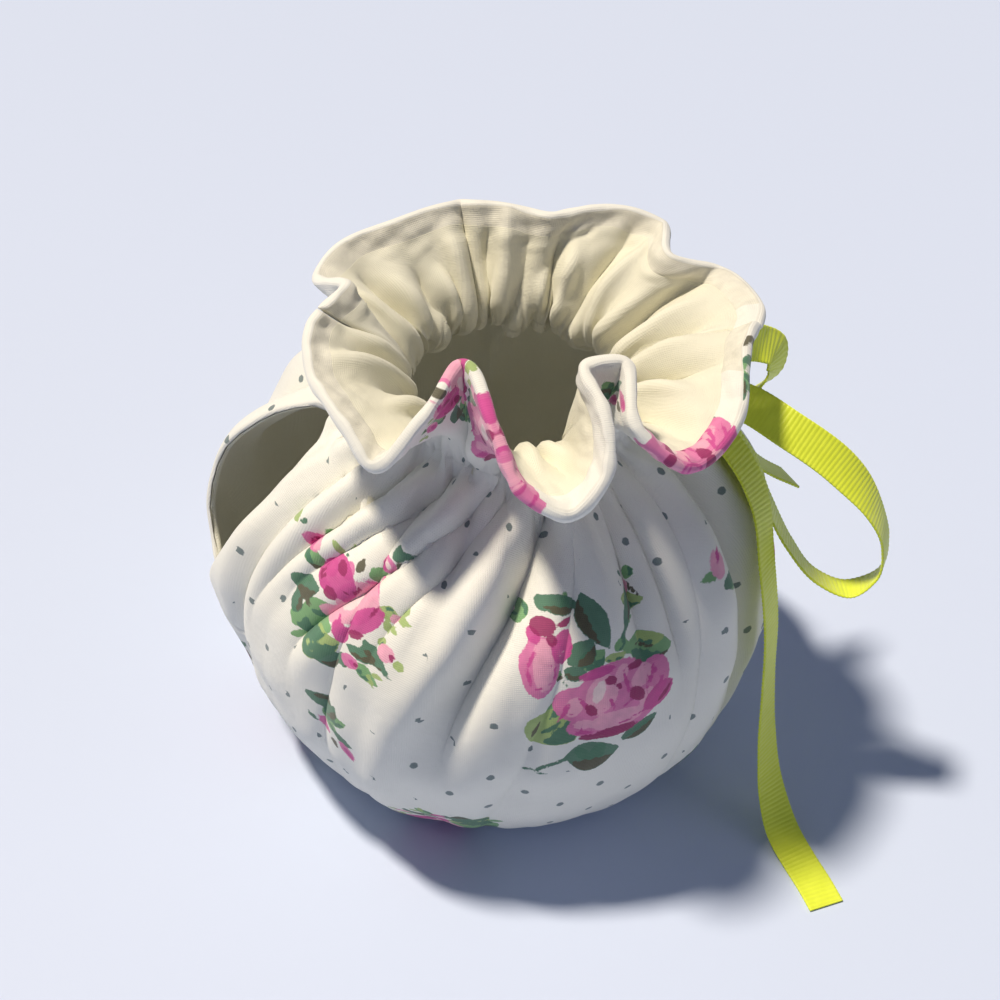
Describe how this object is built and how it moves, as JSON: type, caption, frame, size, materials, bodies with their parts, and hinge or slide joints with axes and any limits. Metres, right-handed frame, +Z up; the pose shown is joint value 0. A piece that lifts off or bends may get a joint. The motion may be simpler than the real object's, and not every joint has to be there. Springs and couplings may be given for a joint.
{
  "type": "tea cosy",
  "caption": "Gathered, lined tea cosy of rose-printed cotton with a drawn-in hem, spout and handle gaps, a ruffled neck and a ribbon bow; hollow, rests on its hem.",
  "frame": {"origin": "on the surface the cosy rests on, under the middle of the whole object's box, ribbon included", "axes": "+Z up through the neck; +X towards the handle gap and the bow; -X towards the spout gap; -Y is the front"},
  "size_m": [0.1802, 0.1634, 0.1458],
  "materials": {
    "printed_cotton": "matte",
    "lining_cotton": "matte",
    "grosgrain_ribbon": "satin"
  },
  "bodies": {
    "root": {"cover_front": "printed_cotton", "cover_back": "printed_cotton", "lining_front": "lining_cotton", "lining_back": "lining_cotton", "ribbon_bow": "grosgrain_ribbon"}
  },
  "joints": []
}
